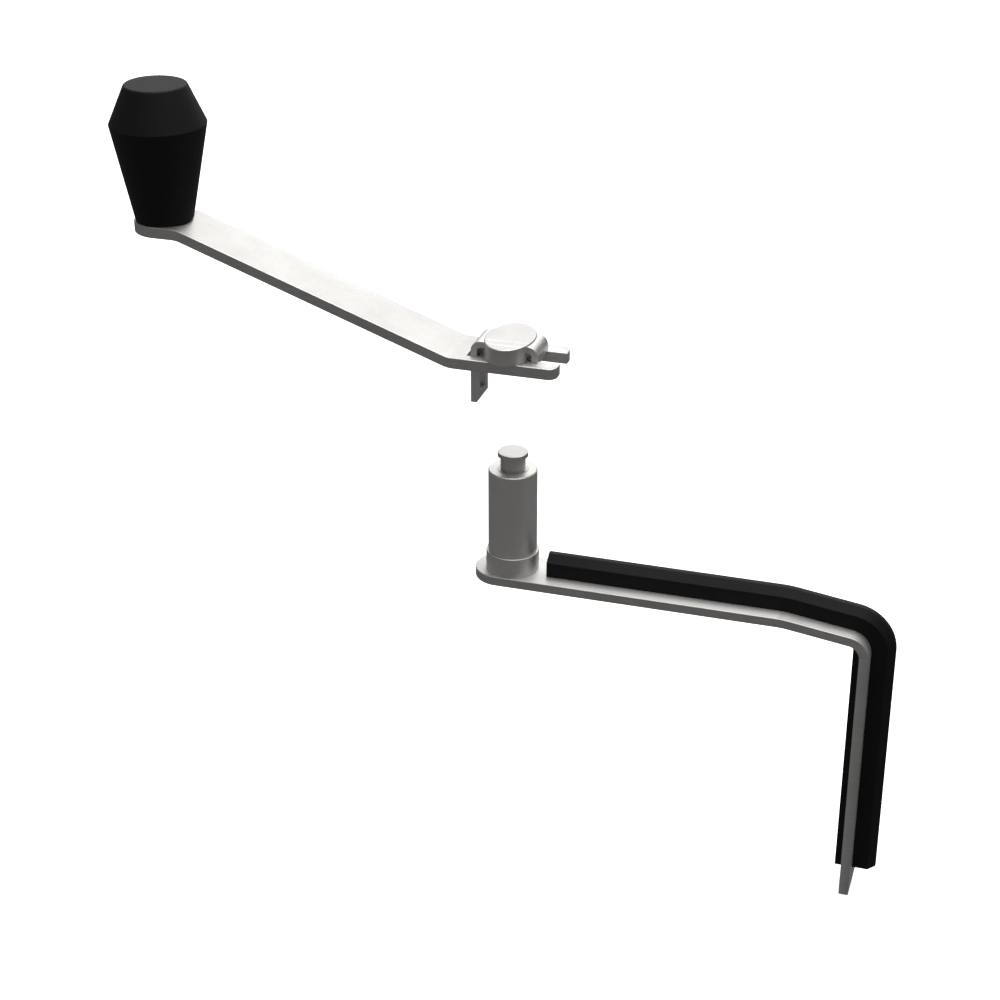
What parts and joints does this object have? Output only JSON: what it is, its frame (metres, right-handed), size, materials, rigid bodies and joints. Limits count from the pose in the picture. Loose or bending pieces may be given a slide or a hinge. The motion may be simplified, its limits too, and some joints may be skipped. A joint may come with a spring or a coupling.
{
  "type": "hand crank operator with blade arm",
  "caption": "Hand crank with tapered knob, forked drop-on arm and latch, on a bearing spindle that turns an L-shaped blade arm edged with rubber strip.",
  "frame": {"origin": "on the spindle's axis, at the lower end face of the bearing sleeve", "axes": "+Z along the spindle towards the handle, +X along the blade arm, handle and knob towards -X"},
  "size_m": [0.2599, 0.0312, 0.2544],
  "materials": {
    "satin_steel": "satin turned steel",
    "turned_steel": "fine turned steel",
    "bar_steel": "satin rolled bar",
    "crank_steel": "satin rolled bar",
    "latch_steel": "satin sheet",
    "cap_steel": "satin, rounded edge",
    "rivet_steel": "plain zinc",
    "spring_steel": "dark oiled",
    "bronze": "sintered bronze",
    "seal_rubber": "matte",
    "strip_rubber": "matte",
    "backing_rubber": "matte",
    "knob_plastic": "fine matte"
  },
  "bodies": {
    "bearing": {"bearing_sleeve": "satin_steel", "upper_bush": "bronze", "lower_bush": "bronze", "shaft_seal": "seal_rubber"},
    "spindle": {"spindle": "turned_steel", "retaining_ring": "spring_steel", "thrust_washer": "bronze", "base_boss": "satin_steel", "blade_arm": "bar_steel", "blade_strip": "strip_rubber", "backing_strip": "backing_rubber", "strip_rivets": "rivet_steel"},
    "crank": {"crank_arm": "crank_steel", "knob_stud": "turned_steel", "stud_clip": "spring_steel", "knob_washer": "rivet_steel"},
    "knob": {"knob_grip": "knob_plastic", "knob_bush": "bronze"},
    "latch": {"latch_plate": "latch_steel", "latch_button": "cap_steel"}
  },
  "joints": [
    {"name": "spindle_turn", "type": "hinge", "parent": "bearing", "child": "spindle", "pos_m": [0, 0, 0], "axis": [0, 0, 1], "continuous": true},
    {"name": "crank_lift", "type": "slide", "parent": "spindle", "child": "crank", "axis": [0, 0, 1], "range_m": [-0.03645, 0]},
    {"name": "knob_spin", "type": "hinge", "parent": "crank", "child": "knob", "pos_m": [-0.1172, 0, 0.12], "axis": [0, 0, 1], "continuous": true},
    {"name": "latch_slide", "type": "slide", "parent": "crank", "child": "latch", "axis": [1, 0, 0], "range_m": [-0.001, 0]}
  ]
}
